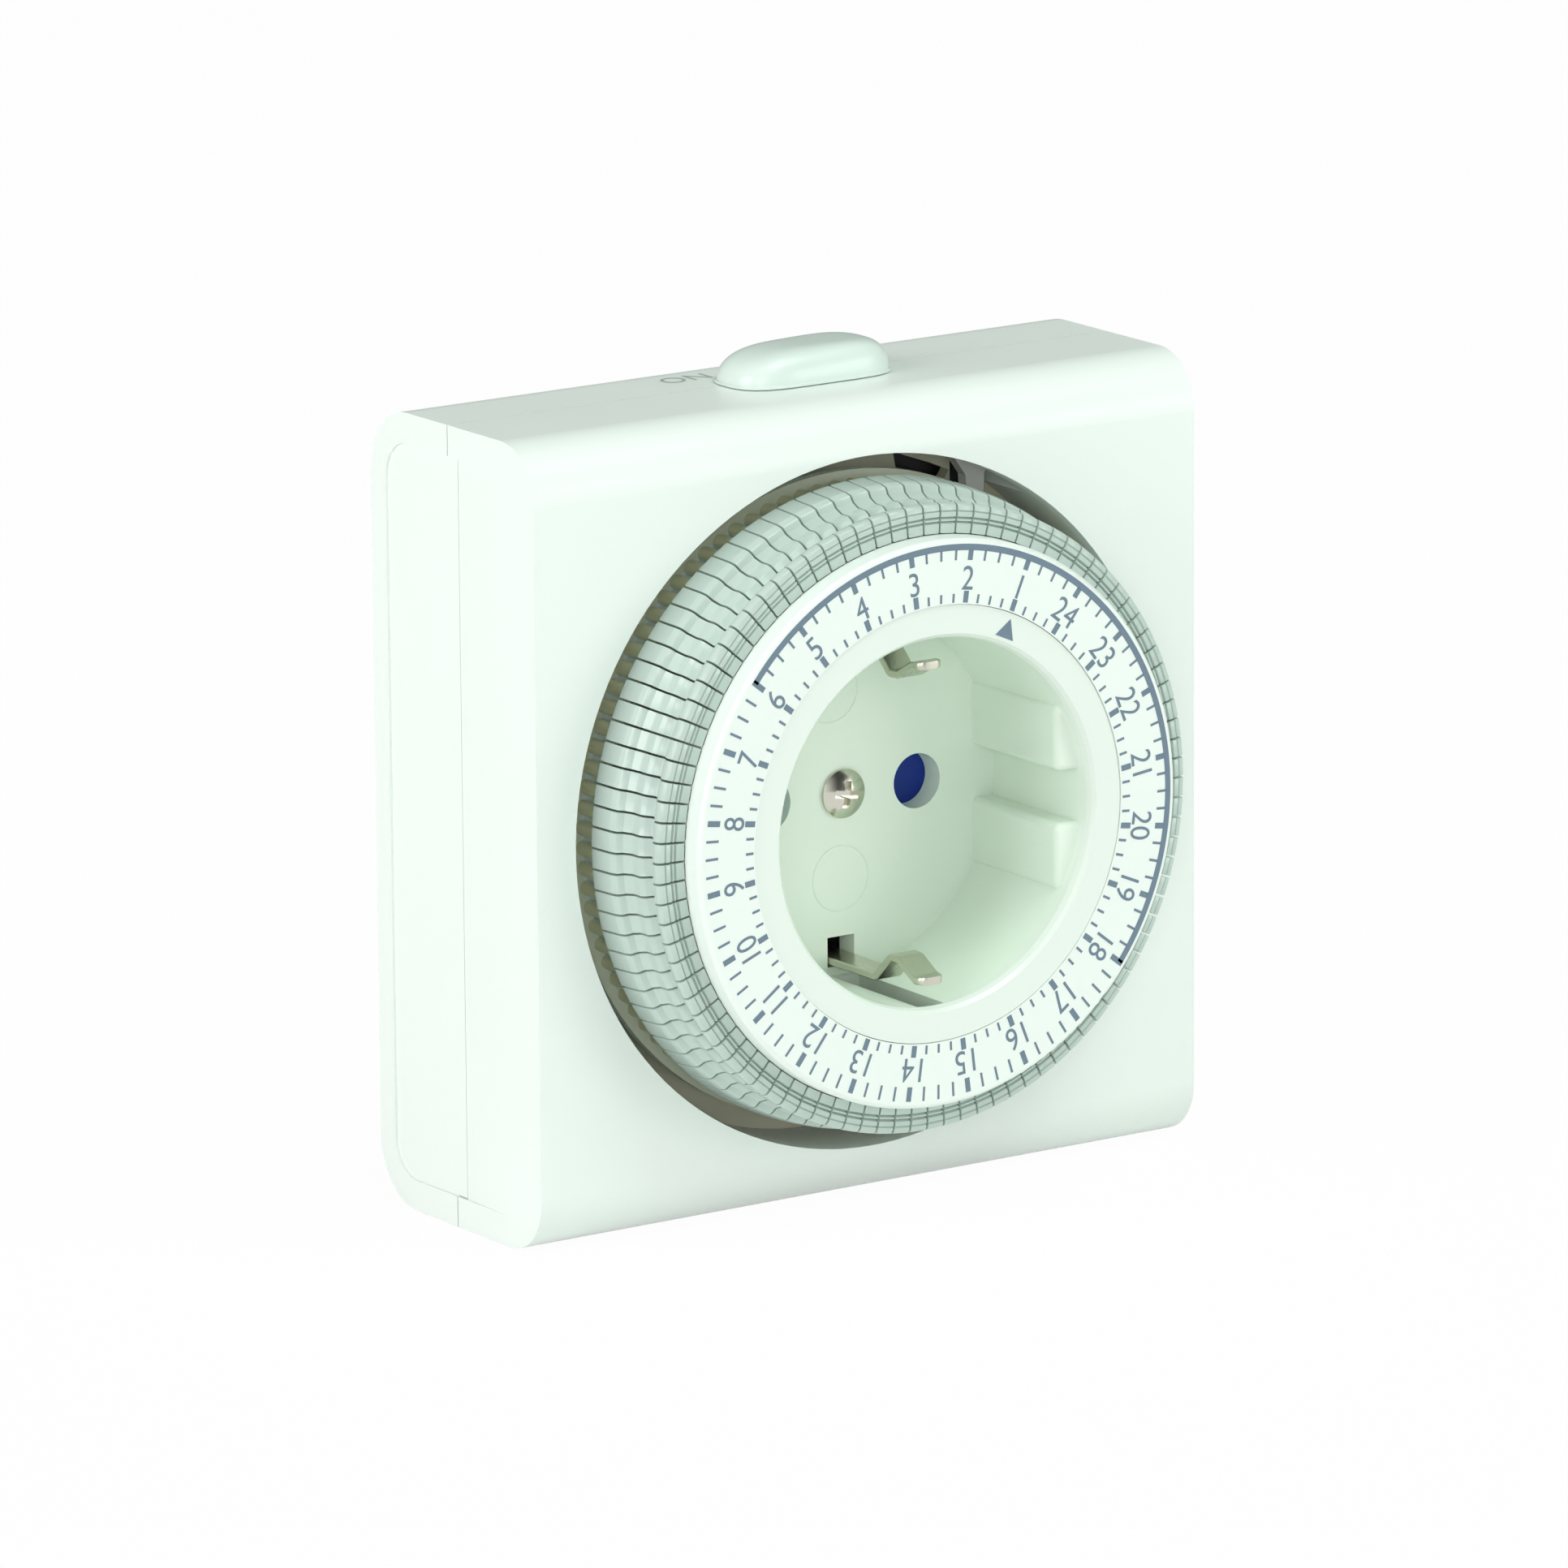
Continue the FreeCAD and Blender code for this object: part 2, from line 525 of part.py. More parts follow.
def build():
    ax, az = arbor_centre()
    mx, mz = motor_centre()
    save("front_cover", front_cover())
    save("back_shell", back_shell())
    save("socket_insert", socket_insert())
    save("centre_screw", centre_screw())
    save("contact_carrier", contact_carrier())
    for name, side in (("top", 1), ("bottom", -1)):
        save("earth_clip_" + name, strip(CLIP_PATH, 0.8, CLIP_HALF_W, side))
        save("plug_earth_contact_" + name, plug_earth_contact(side))
    save("earth_bar", block((-2.0, 2.0), (25.0, 26.0), (-18.3, 18.3)))
    save("plug_pin_left", plug_pin(-1))
    save("plug_pin_right", plug_pin(1))
    save("neutral_receptacle", receptacle(-1))
    save("line_receptacle", receptacle(1))
    save("neutral_bar", block((-10.2, -8.8), (24.0, PIN_ROOT), (-3.0, 3.0)))
    save("line_bar", line_bar())
    save("switch_bar", switch_bar())
    save("movement_plate", movement_plate())
    save("lever_pin", lever_pin())
    save("switch_lever", switch_lever())
    save("switch_body", switch_body())
    save("switch_terminals", switch_terminals())
    save("switch_plunger", rod(19.6, PLUNGER_Z, 0.95, 11.75, 14.5))
    save("housing_screws", housing_screws())
    save("override_button", override_button())
    save("override_slider", block((-4.0, 10.0), (12.8, 19.5), (38.5, 40.2)))
    save("shutter", shutter())
    save("shutter_spring", tube(2.7, 3.3, 9.6, 11.4))

    save("motor_can", rod(mx, mz, 11.5, 15.6, 26.6).cut(rod(mx, mz, 11.0, 15.0, 26.1)))
    save("motor_front_plate", tube(1.2, 11.5, 15.0, 15.6, mx, mz))
    save("motor_coil", tube(6.0, 10.6, 16.2, 25.6, mx, mz))
    rotor = rod(mx, mz, 5.0, 17.0, 25.0).fuse(rod(mx, mz, ARBOR_R, 12.7, 17.0))
    save("motor_rotor", rotor)
    save("motor_pinion", gear(mx, mz, PINION_TEETH, WHEEL_MODULE, WHEEL_D, MOTOR_ANGLE + 180 + 18, ARBOR_R))

    save("arbor_shaft", rod(ax, az, ARBOR_R, 8.8, 18.0))
    save("output_pinion", gear(ax, az, PINION_TEETH, DIAL_MODULE, GEAR_D, ARBOR_ANGLE + 180 + 18, ARBOR_R))
    save("intermediate_wheel", gear(ax, az, WHEEL_TEETH, WHEEL_MODULE, WHEEL_D, MOTOR_ANGLE, ARBOR_R))

    save("dial_drive_gear", gear(0, 0, DIAL_TEETH, DIAL_MODULE, GEAR_D, ARBOR_ANGLE, BORE_R))
    save("dial_wheel", dial_wheel())
    save("dial_face", dial_face())

    one = segment()
    for index in SINGLES:
        save("segment_%02d" % index, spin(one, segment_angle(index)))
    rest = [i % SEGMENTS for i in range(SINGLES[-1] + 1, SEGMENTS + SINGLES[0])]
    for bank, first in enumerate(range(0, len(rest), BANK)):
        group = [spin(one, segment_angle(i)) for i in rest[first:first + BANK]]
        save("segment_bank_%d" % (bank + 1), Part.makeCompound(group))


build()
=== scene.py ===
import math

import bpy
import numpy as np
from mathutils import Matrix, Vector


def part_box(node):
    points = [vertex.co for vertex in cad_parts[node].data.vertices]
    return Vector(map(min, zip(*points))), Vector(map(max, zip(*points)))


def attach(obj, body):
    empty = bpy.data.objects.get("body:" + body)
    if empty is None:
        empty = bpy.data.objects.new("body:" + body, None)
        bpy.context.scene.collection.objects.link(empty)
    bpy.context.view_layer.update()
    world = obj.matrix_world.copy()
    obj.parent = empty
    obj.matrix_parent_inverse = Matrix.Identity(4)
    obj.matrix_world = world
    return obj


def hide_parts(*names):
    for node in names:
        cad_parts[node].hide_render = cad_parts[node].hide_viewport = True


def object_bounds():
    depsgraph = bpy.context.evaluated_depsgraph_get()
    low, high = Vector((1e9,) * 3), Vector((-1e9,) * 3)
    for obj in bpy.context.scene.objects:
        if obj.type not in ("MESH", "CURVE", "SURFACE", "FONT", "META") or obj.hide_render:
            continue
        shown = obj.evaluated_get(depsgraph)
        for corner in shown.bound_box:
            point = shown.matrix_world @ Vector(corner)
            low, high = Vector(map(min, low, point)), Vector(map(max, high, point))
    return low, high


bl_info = {
    "name": "Plug-in timer switch looks",
    "version": (1, 0, 0),
    "blender": (4, 5, 0),
    "location": "View3D > Sidebar > Timer",
    "description": "Finishes, dial print, segments, button, clips and stage of a plug-in timer switch",
    "category": "Object",
}

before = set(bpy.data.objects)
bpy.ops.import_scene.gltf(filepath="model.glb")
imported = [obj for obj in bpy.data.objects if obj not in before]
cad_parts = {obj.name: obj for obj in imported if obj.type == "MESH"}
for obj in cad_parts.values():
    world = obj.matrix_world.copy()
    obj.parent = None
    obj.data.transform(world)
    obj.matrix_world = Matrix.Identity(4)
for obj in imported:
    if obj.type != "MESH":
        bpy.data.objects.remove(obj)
CAD_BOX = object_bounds()

MM = 0.001
HOUSING_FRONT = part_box("front_cover")[0][1]
HOUSING_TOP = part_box("front_cover")[1][2]
DIAL_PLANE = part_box("dial_face")[0][1]
RING_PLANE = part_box("socket_insert")[0][1]
FLOOR_PLANE = HOUSING_FRONT + 5.3 * MM

QUARTERS = 96
PITCH = 360.0 / QUARTERS
HOUR = 4 * PITCH
MIDNIGHT = 38.2
GAP_SHIFT = 0.8
ON_AT = (-10.1 * MM, -7.0 * MM)
CLIP_X = -0.3
HEAD_RADIUS = 33.0
SEGMENT_GAP = 0.24
EDGE_EASE = 0.12
GRAIN_SIZE = 0.00022


def srgb(r, g, b):
    """Linear colour of an 8-bit display colour."""
    c = np.array([r, g, b]) / 255.0
    low = c / 12.92
    high = ((c + 0.055) / 1.055) ** 2.4
    return tuple(np.where(c <= 0.04045, low, high)) + (1.0,)


def depth(value):
    """Y of a depth in millimetres behind the housing's front plane."""
    return HOUSING_FRONT + value * MM


def make_object(name, points, faces, smooth=True):
    """Mesh object at the origin from an array of points in metres and a list of faces."""
    mesh = bpy.data.meshes.new(name)
    mesh.from_pydata(np.asarray(points, float).tolist(), [], [list(f) for f in faces])
    mesh.validate()
    mesh.polygons.foreach_set("use_smooth", np.full(len(mesh.polygons), smooth))
    mesh.update()
    obj = bpy.data.objects.new(name, mesh)
    bpy.context.scene.collection.objects.link(obj)
    return obj


def grid_faces(rows, cols, close_rows=False, close_cols=False, start=0):
    """Quads of a rows by cols grid of points, counted row by row."""
    r = np.arange(rows if close_rows else rows - 1)[:, None]
    c = np.arange(cols if close_cols else cols - 1)[None, :]
    a = r * cols + c
    b = r * cols + (c + 1) % cols
    d = ((r + 1) % rows) * cols + c
    e = ((r + 1) % rows) * cols + (c + 1) % cols
    return (np.stack([a, b, e, d], axis=-1).reshape(-1, 4) + start).tolist()


def face_outwards(obj):
    """Turns a closed mesh's faces so that its signed volume is positive."""
    mesh = obj.data
    mesh.calc_loop_triangles()
    tri = np.empty(len(mesh.loop_triangles) * 3, int)
    mesh.loop_triangles.foreach_get("vertices", tri)
    co = np.empty(len(mesh.vertices) * 3)
    mesh.vertices.foreach_get("co", co)
    p = co.reshape(-1, 3)[tri.reshape(-1, 3)]
    if np.einsum("ij,ij->i", p[:, 0], np.cross(p[:, 1], p[:, 2])).sum() < 0:
        mesh.flip_normals()
    return obj


def around(radius, angle, y):
    """Points on circles about the dial axis; the angle in degrees runs clockwise from the top."""
    a = np.radians(angle)
    radius, a, y = np.broadcast_arrays(radius, a, y)
    return np.stack([radius * np.sin(a), y, radius * np.cos(a)], axis=-1)


def rounded_path(corners, radii, steps=6):
    """Open plane path: straight runs whose corners are replaced by circular arcs of given radii."""
    corners = np.asarray(corners, float)
    out = [corners[:1]]
    for i, radius in enumerate(radii):
        before, here, after = corners[i], corners[i + 1], corners[i + 2]
        u = (before - here) / np.linalg.norm(before - here)
        v = (after - here) / np.linalg.norm(after - here)
        half = math.acos(float(np.clip(u @ v, -1, 1))) / 2
        cut = radius / math.tan(half)
        mid = (u + v) / np.linalg.norm(u + v)
        centre = here + mid * radius / math.sin(half)
        first = here + u * cut - centre
        last = here + v * cut - centre
        t = np.linspace(0, 1, steps)[:, None]
        turn = math.pi - 2 * half
        arc = (np.sin((1 - t) * turn) * first + np.sin(t * turn) * last) / math.sin(turn)
        out.append(centre + arc)
    out.append(corners[-1:])
    return np.vstack(out)


class Value:
    """A shader socket that takes part in plain arithmetic."""

    def __init__(self, shade, socket):
        self.shade = shade
        self.socket = socket

    def _math(self, operation, a, b):
        return self.shade.node("ShaderNodeMath", {"operation": operation}, {0: a, 1: b})

    def __add__(self, other):
        return self._math("ADD", self, other)

    def __mul__(self, other):
        return self._math("MULTIPLY", self, other)

    def above(self, edge, width):
        """Smooth step from 0 to 1 around an edge."""
        return self.shade.node("ShaderNodeMapRange", {"interpolation_type": "SMOOTHSTEP"},
                               {"Value": self, "From Min": edge - width, "From Max": edge + width})


class Shade:
    """A material with one Principled shader, filled through node()."""

    def __init__(self, name, **uniform):
        self.material = bpy.data.materials.new(name)
        self.material.use_nodes = True
        self.tree = self.material.node_tree
        self.main = self.tree.nodes["Principled BSDF"]
        for key, value in uniform.items():
            self.main.inputs[key.replace("_", " ").title().replace("Ior", "IOR")].default_value = value
        self.place = self.node("ShaderNodeTexCoord", {}, {}, output="Object")

    def node(self, kind, settings, inputs, output=0):
        """Adds a node with its settings, then its values or links, and gives one output."""
        made = self.tree.nodes.new(kind)
        for key, value in settings.items():
            setattr(made, key, value)
        for key, value in inputs.items():
            if isinstance(value, Value):
                self.tree.links.new(value.socket, made.inputs[key])
            else:
                made.inputs[key].default_value = value
        return Value(self, made.outputs[output])

    def noise(self, scale, detail=3.0, stretch=(1, 1, 1)):
        """Even noise in object space, with scale in waves per metre."""
        vector = self.node("ShaderNodeMapping", {}, {"Vector": self.place, "Scale": stretch})
        inputs = {"Vector": vector, "Scale": scale, "Detail": detail}
        return self.node("ShaderNodeTexNoise", {}, inputs, "Fac")

    def mix(self, factor, a, b):
        return self.node("ShaderNodeMix", {"data_type": "RGBA"}, {0: factor, 6: a, 7: b}, 2)

    def bump(self, height, strength, distance):
        inputs = {"Height": height, "Strength": strength, "Distance": distance}
        self.feed("Normal", self.node("ShaderNodeBump", {}, inputs))

    def feed(self, name, value):
        self.tree.links.new(value.socket, self.main.inputs[name])


def tinted(colour, factor):
    """Opaque colour made darker or lighter by a factor."""
    return tuple(c * factor for c in colour[:3]) + (1.0,)


def moulded_plastic(name, colour, roughness, grain, coat=0.0):
    """Moulded plastic: a fine spark-eroded grain, faint flow clouds and a little uneven gloss."""
    shade = Shade(name, coat_weight=coat, ior=1.46)
    clouds = shade.noise(38.0, 2.0)
    fine = shade.noise(1.0 / GRAIN_SIZE, 2.0)
    shade.feed("Base Color", shade.mix(clouds, tinted(colour, 0.985), tinted(colour, 1.012)))
    shade.feed("Roughness", fine * 0.06 + (clouds * 0.06 + (roughness - 0.06)))
    shade.bump(fine, grain, 0.00003)
    return shade.material


def well_plastic(name, front, inside, edge):
    """The socket insert: near white on its front ring; behind an edge depth the inside takes a greener tone,
    painted light that stands in for the light in the recess.
    """
    shade = Shade(name, ior=1.46)
    y = shade.node("ShaderNodeSeparateXYZ", {}, {"Vector": shade.place}, "Y")
    clouds = shade.noise(38.0, 2.0)
    # painted light: behind the edge depth the colour turns to the greener inside tone, standing in for the
    # light in the recess
    body = shade.mix(y.above(edge, 1.2 * MM), front, inside)
    shade.feed("Base Color", shade.mix(clouds * 0.04, body, tinted(inside, 0.8)))
    shade.feed("Roughness", clouds * 0.06 + 0.2)
    shade.bump(shade.noise(4500.0, 2.0), 0.05, 0.00003)
    return shade.material


def wheel_plastic(name, pale, cream, edge):
    """The dial wheel: cream ridges with paler valleys in front of an edge depth, a pale flange behind it and
    a bore painted near black, painted shade where only shadow shows behind the slots. The radius is compared
    by its square."""
    shade = Shade(name, ior=1.46)
    x, y, z = (shade.node("ShaderNodeSeparateXYZ", {}, {"Vector": shade.place}, axis) for axis in "XYZ")
    square = x * x + z * z
    ridge = square.above((33.0 * MM) ** 2, 66.0 * MM * 0.12 * MM)
    outside = square.above((21.8 * MM) ** 2, 44.0 * MM * 0.1 * MM)
    clouds = shade.noise(60.0)
    body = shade.mix(y.above(edge, 0.08 * MM), shade.mix(ridge, pale, cream), pale)
    # painted shade: a near-black colour inside the bore, where only shadow shows behind the slots
    body = shade.mix(outside, srgb(36, 40, 44), body)
    shade.feed("Base Color", shade.mix(clouds * 0.12, body, tinted(pale, 0.8)))
    shade.feed("Roughness", clouds * 0.1 + 0.32)
    shade.bump(shade.noise(3500.0), 0.1, 0.00003)
    return shade.material


def plated_metal(name, colour, roughness, stretch=(1, 1, 1)):
    """Plated or rolled metal: drawn lines, cloudy stains and fine scratches in its gloss."""
    shade = Shade(name, metallic=1.0)
    lines = shade.noise(900.0, 4.0, stretch)
    stains = shade.noise(180.0, 3.0)
    shade.feed("Base Color", shade.mix(stains, tinted(colour, 0.86), tinted(colour, 1.06)))
    shade.feed("Roughness", lines * 0.16 + (stains * 0.1 + (roughness - 0.1)))
    shade.bump(lines, 0.18, 0.00002)
    return shade.material


def printed_ink(name, colour):
    """Pad-printed ink: slightly uneven cover and a satin surface."""
    shade = Shade(name, ior=1.45)
    cover = shade.noise(2500.0, 3.0)
    shade.feed("Base Color", shade.mix(cover, tinted(colour, 0.9), tinted(colour, 1.12)))
    shade.feed("Roughness", cover * 0.12 + 0.36)
    return shade.material


def wound_copper(name, colour):
    """Varnished winding: fine turns side by side along the wall direction."""
    shade = Shade(name, metallic=0.8)
    y = shade.node("ShaderNodeSeparateXYZ", {}, {"Vector": shade.place}, "Y")
    turns = shade.node("ShaderNodeMath", {"operation": "SINE"}, {0: y * (2 * math.pi / 0.0003)})
    shade.feed("Base Color", shade.mix(turns * 0.5 + 0.5, tinted(colour, 0.55), colour))
    shade.feed("Roughness", turns * 0.06 + 0.34)
    shade.bump(turns, 0.5, 0.00005)
    return shade.material


class TimerColours(bpy.types.PropertyGroup):
    housing: bpy.props.FloatVectorProperty(
        name="Housing", description="Colour of the covers", subtype="COLOR", size=4,
        default=srgb(236, 243, 238))
    dial: bpy.props.FloatVectorProperty(
        name="Dial", description="Colour of the dial face", subtype="COLOR", size=4,
        default=srgb(237, 244, 239))
    # the well colour is the socket insert's inside tone, painted light for its recess
    well: bpy.props.FloatVectorProperty(
        name="Well", description="Colour of the socket insert", subtype="COLOR", size=4,
        default=srgb(232, 244, 231))
    segment: bpy.props.FloatVectorProperty(
        name="Segments", description="Colour of the quarter-hour segments", subtype="COLOR", size=4,
        default=srgb(190, 205, 198))
    button: bpy.props.FloatVectorProperty(
        name="Button", description="Colour of the override button", subtype="COLOR", size=4,
        default=srgb(218, 231, 224))
    ink: bpy.props.FloatVectorProperty(
        name="Ink", description="Colour of the dial print", subtype="COLOR", size=4,
        default=srgb(108, 127, 144))
    shutter: bpy.props.FloatVectorProperty(
        name="Shutter", description="Colour of the shutter behind the pin holes", subtype="COLOR", size=4,
        default=srgb(0, 44, 140))


class TimerSizes(bpy.types.PropertyGroup):
    digit_height: bpy.props.FloatProperty(
        name="Digit height", description="Height of the dial numbers", default=2.5 * MM, unit="LENGTH")
    digit_radius: bpy.props.FloatProperty(
        name="Digit radius", description="Radius of the numbers' middle", default=25.9 * MM, unit="LENGTH")
    thick_line: bpy.props.FloatProperty(
        name="Thick line", description="Width of an hour's line", default=0.62 * MM, unit="LENGTH")
    thin_line: bpy.props.FloatProperty(
        name="Thin line", description="Width of a quarter's line", default=0.27 * MM, unit="LENGTH")
    ink_lift: bpy.props.FloatProperty(
        name="Ink lift", description="Height of the print above its surface", default=0.02 * MM,
        unit="LENGTH")
    on_height: bpy.props.FloatProperty(
        name="ON height", description="Height of the letters beside the button", default=2.6 * MM,
        unit="LENGTH")


class TimerCamera(bpy.types.PropertyGroup):
    azimuth: bpy.props.FloatProperty(
        name="Azimuth", description="Camera's turn to the left of the dial axis, in degrees", default=-34.361)
    elevation: bpy.props.FloatProperty(
        name="Elevation", description="Camera's height angle, in degrees", default=13.256)
    roll: bpy.props.FloatProperty(name="Roll", description="Camera's roll, in degrees", default=0.441)
    distance: bpy.props.FloatProperty(
        name="Distance", description="From the dial's centre to the camera", default=1.323, unit="LENGTH")
    lens: bpy.props.FloatProperty(
        name="Lens", description="Focal length for a 36 mm sensor, in millimetres", default=292.05)
    right: bpy.props.FloatProperty(
        name="Right", description="Dial centre right of the picture's middle, as a share of its width",
        default=107.46 / 1932)
    down: bpy.props.FloatProperty(
        name="Down", description="Dial centre below the picture's middle, as a share of its width",
        default=22.79 / 1932)


def dress(names, material):
    """Gives CAD nodes one material."""
    for name in names:
        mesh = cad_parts[name].data
        mesh.materials.clear()
        mesh.materials.append(material)


def finished(obj, material, body, slot_name, *nodes):
    """Puts a new piece on its body with its material and hides the CAD nodes it stands for. The slot name is
    not used.
    """
    obj.data.materials.append(material)
    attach(obj, body)
    if nodes:
        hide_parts(*nodes)
    return obj


def material(name):
    """Material made earlier, by its name."""
    return bpy.data.materials[name]


class TIMER_OT_finishes(bpy.types.Operator):
    """Makes the materials and gives every CAD piece its finish"""
    bl_idname = "timer.finishes"
    bl_label = "Finishes"

    def execute(self, context):
        colour = context.scene.timer_colours
        housing = moulded_plastic("housing_plastic", tuple(colour.housing), 0.36, 0.16)
        dial = moulded_plastic("dial_plastic", tuple(colour.dial), 0.34, 0.08)
        # the socket insert's greener inside tone behind depth -10.6 is painted light for the recess
        well = well_plastic("well_plastic", srgb(232, 240, 233), tuple(colour.well), depth(-10.6))
        moulded_plastic("segment_plastic", tuple(colour.segment), 0.2, 0.06)
        moulded_plastic("button_plastic", tuple(colour.button), 0.3, 0.05, coat=0.15)
        inner = moulded_plastic("movement_plastic", srgb(222, 222, 198), 0.42, 0.15)
        finger = moulded_plastic("lever_plastic", srgb(250, 251, 248), 0.32, 0.08)
        gear = moulded_plastic("gear_plastic", srgb(226, 222, 200), 0.4, 0.1)
        case = moulded_plastic("switch_plastic", srgb(17, 19, 22), 0.4, 0.1)
        shutter = moulded_plastic("shutter_plastic", tuple(colour.shutter), 0.5, 0.05)
        printed_ink("dial_ink", tuple(colour.ink))
        printed_ink("letter_ink", srgb(168, 182, 172))
        nickel = plated_metal("nickel_plate", srgb(212, 211, 198), 0.13)
        plated_metal("clip_plate", srgb(206, 206, 190), 0.26, (1, 0.1, 1))
        brass = plated_metal("brass_strip", srgb(214, 178, 104), 0.32, (1, 0.1, 1))
        steel = plated_metal("machined_steel", srgb(176, 178, 182), 0.34)
        copper = wound_copper("copper_winding", srgb(190, 110, 60))
        wheel = wheel_plastic("wheel_plastic", srgb(210, 221, 214), srgb(196, 196, 160), depth(4.9))
        dress(["front_cover", "back_shell"], housing)
        dress(["dial_face"], dial)
        dress(["socket_insert"], well)
        dress(["dial_wheel"], wheel)
        dress(["movement_plate", "contact_carrier", "override_slider", "switch_plunger"], inner)
        dress(["switch_lever"], finger)
        dress(["dial_drive_gear", "output_pinion", "intermediate_wheel"], gear)
        dress(["switch_body"], case)
        dress(["shutter"], shutter)
        dress(["centre_screw", "plug_pin_left", "plug_pin_right", "plug_earth_contact_top",
               "plug_earth_contact_bottom"], nickel)
        dress(["earth_bar", "neutral_receptacle", "line_receptacle", "neutral_bar", "line_bar", "switch_bar",
               "switch_terminals"], brass)
        dress(["lever_pin", "housing_screws", "shutter_spring", "motor_can", "motor_front_plate",
               "motor_rotor", "arbor_shaft", "motor_pinion"], steel)
        dress(["motor_coil"], copper)
        return {"FINISHED"}


def head_profile():
    """Closed section of a segment's head as (radius, depth) in millimetres.

    Straight runs and arcs: a grooved front face, a round shoulder, an undercut neck, a flared skirt with two
    edges, and a thin rear lip.
    """
    front = [(30.15, -9.9), (31.12, -9.9), (31.27, -9.52), (31.42, -9.9), (31.57, -9.9), (31.72, -9.52),
             (31.87, -9.9), (32.34, -9.9), (32.42, -9.72), (32.55, -9.88)]
    shoulder = rounded_path([(32.55, -9.88), (33.12, -9.72), (33.27, -9.2), (33.2, -8.6), (32.4, -7.7)],
                            [0.35, 0.3, 0.4], 5)
    neck = rounded_path([(32.4, -7.7), (31.8, -6.55), (32.5, -6.05), (32.86, -5.5), (32.86, -4.3),
                         (33.35, -3.4)], [0.25, 0.5, 0.3, 1.0], 5)
    skirt = rounded_path([(33.35, -3.4), (34.05, -3.05), (34.25, -2.2), (34.45, 0.7)], [0.5, 0.5], 5)
    back = [(33.95, 0.7), (33.8, -1.3), (33.2, -2.1), (30.15, -2.1)]
    return np.vstack([front, shoulder[1:], neck[1:], skirt[1:], back])


def segments(indices):
    """Points and faces of segments: the head's section carried round a short arc, closed by two flat
    ends, and a thin bar for the fin. The outer columns are drawn in a little, which eases the gaps' edges."""
    section = head_profile()
    width = PITCH - math.degrees(SEGMENT_GAP / HEAD_RADIUS)
    inset = math.degrees(EDGE_EASE / HEAD_RADIUS)
    columns = np.array([-width / 2, -width / 2 + inset, width / 2 - inset, width / 2])
    shrink = np.array([0.06, 0.0, 0.0, 0.06])
    middle = section.mean(axis=0)
    away = section - middle
    length = np.linalg.norm(away, axis=1, keepdims=True)
    points = []
    faces = []
    rows = len(section)
    fin = np.array([(x, d, r) for x in (-0.5, 0.5) for d, r in
                    ((-8.5, 26.7), (6.0, 26.7), (6.0, 29.9), (-2.3, 29.9), (-2.3, 30.9), (-8.5, 30.9))])
    for index in indices:
        angle = MIDNIGHT - GAP_SHIFT - PITCH / 2 - index * PITCH
        start = sum(len(p) for p in points)
        pulled = section[:, None, :] - (away / length)[:, None, :] * shrink[None, :, None]
        grid = around(pulled[..., 0] * MM, angle + columns[None, :], depth(0) + pulled[..., 1] * MM)
        points.append(grid.reshape(-1, 3))
        faces += grid_faces(rows, 4, close_rows=True, start=start)
        faces.append([start + 4 * i for i in range(rows)])
        faces.append([start + 4 * i + 3 for i in range(rows)][::-1])
        a = math.radians(angle)
        x, d, r = fin.T
        start += rows * 4
        points.append(np.stack([(x * math.cos(a) + r * math.sin(a)) * MM, depth(0) + d * MM,
                                (r * math.cos(a) - x * math.sin(a)) * MM], axis=-1))
        faces += [[start + i for i in range(6)], [start + 6 + i for i in range(6)][::-1]]
        faces += [[start + i, start + 6 + i, start + 6 + (i + 1) % 6, start + (i + 1) % 6] for i in range(6)]
    return np.vstack(points), faces


class TIMER_OT_segments(bpy.types.Operator):
    """Makes the 96 quarter-hour segments, banks and single ones"""
    bl_idname = "timer.segments"
    bl_label = "Segments"

    def execute(self, context):
        singles = sorted(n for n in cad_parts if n.startswith("segment_") and "bank" not in n)
        loose = [int(n[-2:]) for n in singles]
        rest = [i % QUARTERS for i in range(loose[-1] + 1, QUARTERS + loose[0])]
        groups = {name: [index] for name, index in zip(singles, loose)}
        for bank in range(0, len(rest), 12):
            groups["segment_bank_%d" % (bank // 12 + 1)] = rest[bank:bank + 12]
        for node, indices in groups.items():
            obj = make_object("cap_" + node, *segments(indices))
            face_outwards(obj)
            mark_sharp(obj, 28.0)
            finished(obj, material("segment_plastic"), node + "_body", "segment_grey", node)
        return {"FINISHED"}


def mark_sharp(obj, degrees):
    """Marks edges sharp where two faces meet at more than an angle."""
    obj.data.set_sharp_from_angle(angle=math.radians(degrees))


def flat_bars(angles, inner, outer, width, y):
    """Flat radial bars facing the front, each a four-cornered plate at its angle."""
    angles = np.asarray(angles, float)
    corners = np.array([(-0.5, inner), (0.5, inner), (0.5, outer), (-0.5, outer)])
    a = np.radians(angles)[:, None]
    u = corners[None, :, 0] * width
    r = corners[None, :, 1]
    points = np.stack([r * np.sin(a) + u * np.cos(a), np.full_like(r * a, y), r * np.cos(a) - u * np.sin(a)],
                      axis=-1)
    return points.reshape(-1, 3), [[4 * i, 4 * i + 1, 4 * i + 2, 4 * i + 3] for i in range(len(angles))]


def joined(parts):
    """Points and faces of several pieces as one."""
    points = []
    faces = []
    count = 0
    for p, f in parts:
        points.append(p)
        faces += [[i + count for i in face] for face in f]
        count += len(p)
    return np.vstack(points), faces


def arc_band(first, last, inner, outer, y, steps=160):
    """Flat band between two radii from one angle to another."""
    grid = around(np.array([inner, outer])[:, None], np.linspace(first, last, steps)[None, :], y)
    return grid.reshape(-1, 3), grid_faces(2, steps)


